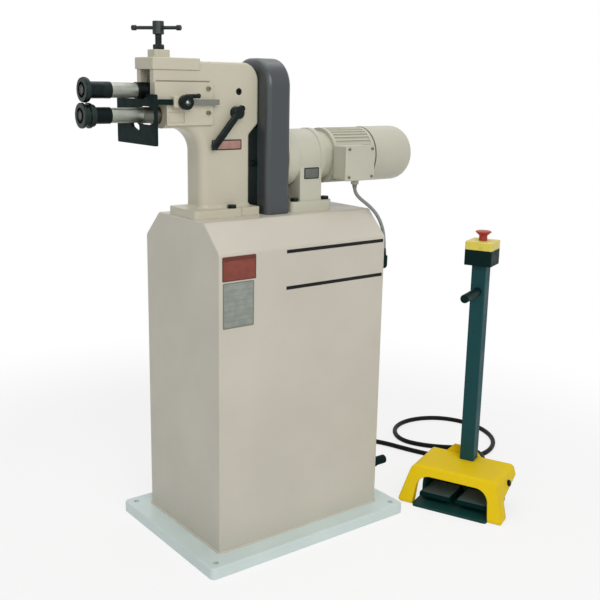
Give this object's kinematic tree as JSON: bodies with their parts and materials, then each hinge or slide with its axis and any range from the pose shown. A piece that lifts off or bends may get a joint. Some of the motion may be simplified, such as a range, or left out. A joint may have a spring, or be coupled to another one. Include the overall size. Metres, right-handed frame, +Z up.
{
  "type": "bead roller",
  "caption": "Motor-driven bead roller with a C-shaped head, paired rolls, back gauge and chain guard on a sheet cabinet, worked from a cable-linked pedal station.",
  "frame": {"origin": "centre of the base plate's underside, on the floor", "axes": "+Z up; +X along the shafts from the rolls to the motor; -Y is the front with the levers"},
  "size_m": [1.4429, 0.7951, 1.264],
  "materials": {
    "cream_paint": "semi-gloss machine enamel",
    "plate_paint": "satin grey-green enamel",
    "motor_paint": "semi-gloss enamel",
    "slate_paint": "satin enamel",
    "black_paint": "satin enamel",
    "fence_paint": "satin enamel",
    "teal_paint": "satin enamel",
    "yellow_paint": "gloss enamel on a casting",
    "dark_steel": "black oxide",
    "bright_steel": "ground",
    "roll_steel": "hardened, oiled",
    "gear_steel": "machined, oiled",
    "cast_iron": "machined",
    "bronze": "bearing bronze",
    "zinc_sheet": "zinc plated",
    "black_plastic": "matt",
    "yellow_plastic": "gloss",
    "red_plastic": "gloss",
    "tread_rubber": "ribbed",
    "grey_cable": "smooth sheath",
    "black_cable": "smooth sheath"
  },
  "bodies": {
    "frame": {"base_plate": "plate_paint", "cabinet_shell": "cream_paint", "door_hinges": "dark_steel", "control_panel": "zinc_sheet", "cable_glands": "black_plastic", "head_casting": "cream_paint", "hex_bolts": "dark_steel", "slide_cap": "cream_paint", "socket_screws": "dark_steel", "screw_nut": "cream_paint", "lock_ring": "dark_steel", "trunnion_pins": "dark_steel", "lower_bushes": "bronze", "side_plate": "cream_paint", "chain_guard": "slate_paint", "guard_back_plate": "black_paint", "drive_chain": "gear_steel", "gearbox_housing": "motor_paint", "motor_housing": "motor_paint", "fan_cowl": "motor_paint", "terminal_box": "motor_paint", "terminal_lid": "motor_paint", "motor_cable": "grey_cable", "pedal_base": "black_paint", "pedal_hood": "yellow_paint", "treadle_pin": "bright_steel", "pedal_switches": "black_plastic", "post_tube": "teal_paint", "post_grip": "black_plastic", "stop_box": "black_plastic", "stop_lid": "yellow_plastic", "pedal_cable": "black_cable"},
    "door": {"cabinet_door": "cream_paint", "door_handle": "black_plastic"},
    "pad": {"thrust_pad": "dark_steel"},
    "screw": {"adjusting_screw": "dark_steel"},
    "handle_bar": {"tommy_bar": "dark_steel"},
    "carrier": {"upper_bearing_block": "cast_iron", "upper_rear_bearing": "cast_iron"},
    "upper_roller": {"upper_shaft": "bright_steel", "upper_spacers": "dark_steel", "upper_roll": "roll_steel", "upper_roll_nut": "dark_steel", "upper_gear": "gear_steel"},
    "lower_roller": {"lower_shaft": "bright_steel", "lower_spacers": "dark_steel", "lower_roll": "roll_steel", "lower_roll_nut": "dark_steel", "lower_gear": "gear_steel", "driven_sprocket": "gear_steel"},
    "output": {"gearbox_shaft": "bright_steel", "drive_sprocket": "gear_steel"},
    "rotor": {"motor_rotor": "bright_steel"},
    "gauge": {"fence": "fence_paint"},
    "clamp": {"clamp_lever": "dark_steel"},
    "lock_arm": {"side_lever": "dark_steel"},
    "left_pedal": {"left_treadle": "tread_rubber"},
    "right_pedal": {"right_treadle": "tread_rubber"},
    "stop_stem": {"stop_plunger": "red_plastic"},
    "stop_button": {"stop_cap": "red_plastic"}
  },
  "joints": [
    {"name": "rotor_spin", "type": "hinge", "parent": "frame", "child": "rotor", "pos_m": [0.2, 0, 0.955], "axis": [1, 0, 0], "continuous": true},
    {"name": "output_spin", "type": "hinge", "parent": "frame", "child": "output", "pos_m": [0, 0, 0.955], "axis": [1, 0, 0], "continuous": true},
    {"name": "lower_spin", "type": "hinge", "parent": "frame", "child": "lower_roller", "pos_m": [-0.2, 0, 1.06], "axis": [1, 0, 0], "continuous": true},
    {"name": "upper_spin", "type": "hinge", "parent": "carrier", "child": "upper_roller", "pos_m": [-0.2, 0, 1.114], "axis": [1, 0, 0], "continuous": true},
    {"name": "screw_turn", "type": "hinge", "parent": "pad", "child": "screw", "pos_m": [-0.3, 0, 1.2], "axis": [0, 0, 1], "range_deg": [0, 900]},
    {"name": "screw_lift", "type": "slide", "parent": "frame", "child": "pad", "axis": [0, 0, 1], "range_m": [0, 0.0051]},
    {"name": "upper_tilt", "type": "hinge", "parent": "frame", "child": "carrier", "pos_m": [-0.111, 0, 1.114], "axis": [0, 1, 0], "range_deg": [0, 1.55]},
    {"name": "bar_slide", "type": "slide", "parent": "screw", "child": "handle_bar", "axis": [0.5592, -0.829, 0], "range_m": [-0.03, 0.04]},
    {"name": "gauge_slide", "type": "slide", "parent": "frame", "child": "gauge", "axis": [-1, 0, 0], "range_m": [0, 0.08]},
    {"name": "clamp_turn", "type": "hinge", "parent": "frame", "child": "clamp", "pos_m": [-0.271, -0.062, 1.09], "axis": [0, 1, 0], "range_deg": [-90, 0]},
    {"name": "lock_turn", "type": "hinge", "parent": "frame", "child": "lock_arm", "pos_m": [-0.121, -0.038, 1.066], "axis": [0, 1, 0], "range_deg": [-40, 30]},
    {"name": "door_swing", "type": "hinge", "parent": "frame", "child": "door", "pos_m": [0.186, 0.182, 0.378], "axis": [0, 0, -1], "range_deg": [0, 120]},
    {"name": "left_press", "type": "hinge", "parent": "frame", "child": "left_pedal", "pos_m": [0.531, -0.25, 0.02], "axis": [0.3939, -0.9191, 0], "range_deg": [0, 6], "stiffness_Nm_per_rad": 8, "springref_deg": -8.59},
    {"name": "right_press", "type": "hinge", "parent": "frame", "child": "right_pedal", "pos_m": [0.531, -0.25, 0.02], "axis": [0.3939, -0.9191, 0], "range_deg": [0, 6], "stiffness_Nm_per_rad": 8, "springref_deg": -8.59},
    {"name": "stop_press", "type": "slide", "parent": "frame", "child": "stop_stem", "axis": [0, 0, -1], "range_m": [0, 0.004], "stiffness_N_per_m": 500, "springref_m": -0.004},
    {"name": "stop_twist", "type": "hinge", "parent": "stop_stem", "child": "stop_button", "pos_m": [0.531, -0.25, 0.75], "axis": [0, 0, 1], "range_deg": [0, 40], "stiffness_Nm_per_rad": 0.05}
  ],
  "couplings": [
    {"joint": "output_spin", "follows": "rotor_spin", "ratio": 0.028571},
    {"joint": "lower_spin", "follows": "rotor_spin", "ratio": 0.022556},
    {"joint": "upper_spin", "follows": "rotor_spin", "ratio": -0.022556},
    {"joint": "screw_lift", "follows": "screw_turn", "m_per_rad": 0.00031831},
    {"joint": "upper_tilt", "follows": "screw_turn", "ratio": 0.0016842}
  ]
}
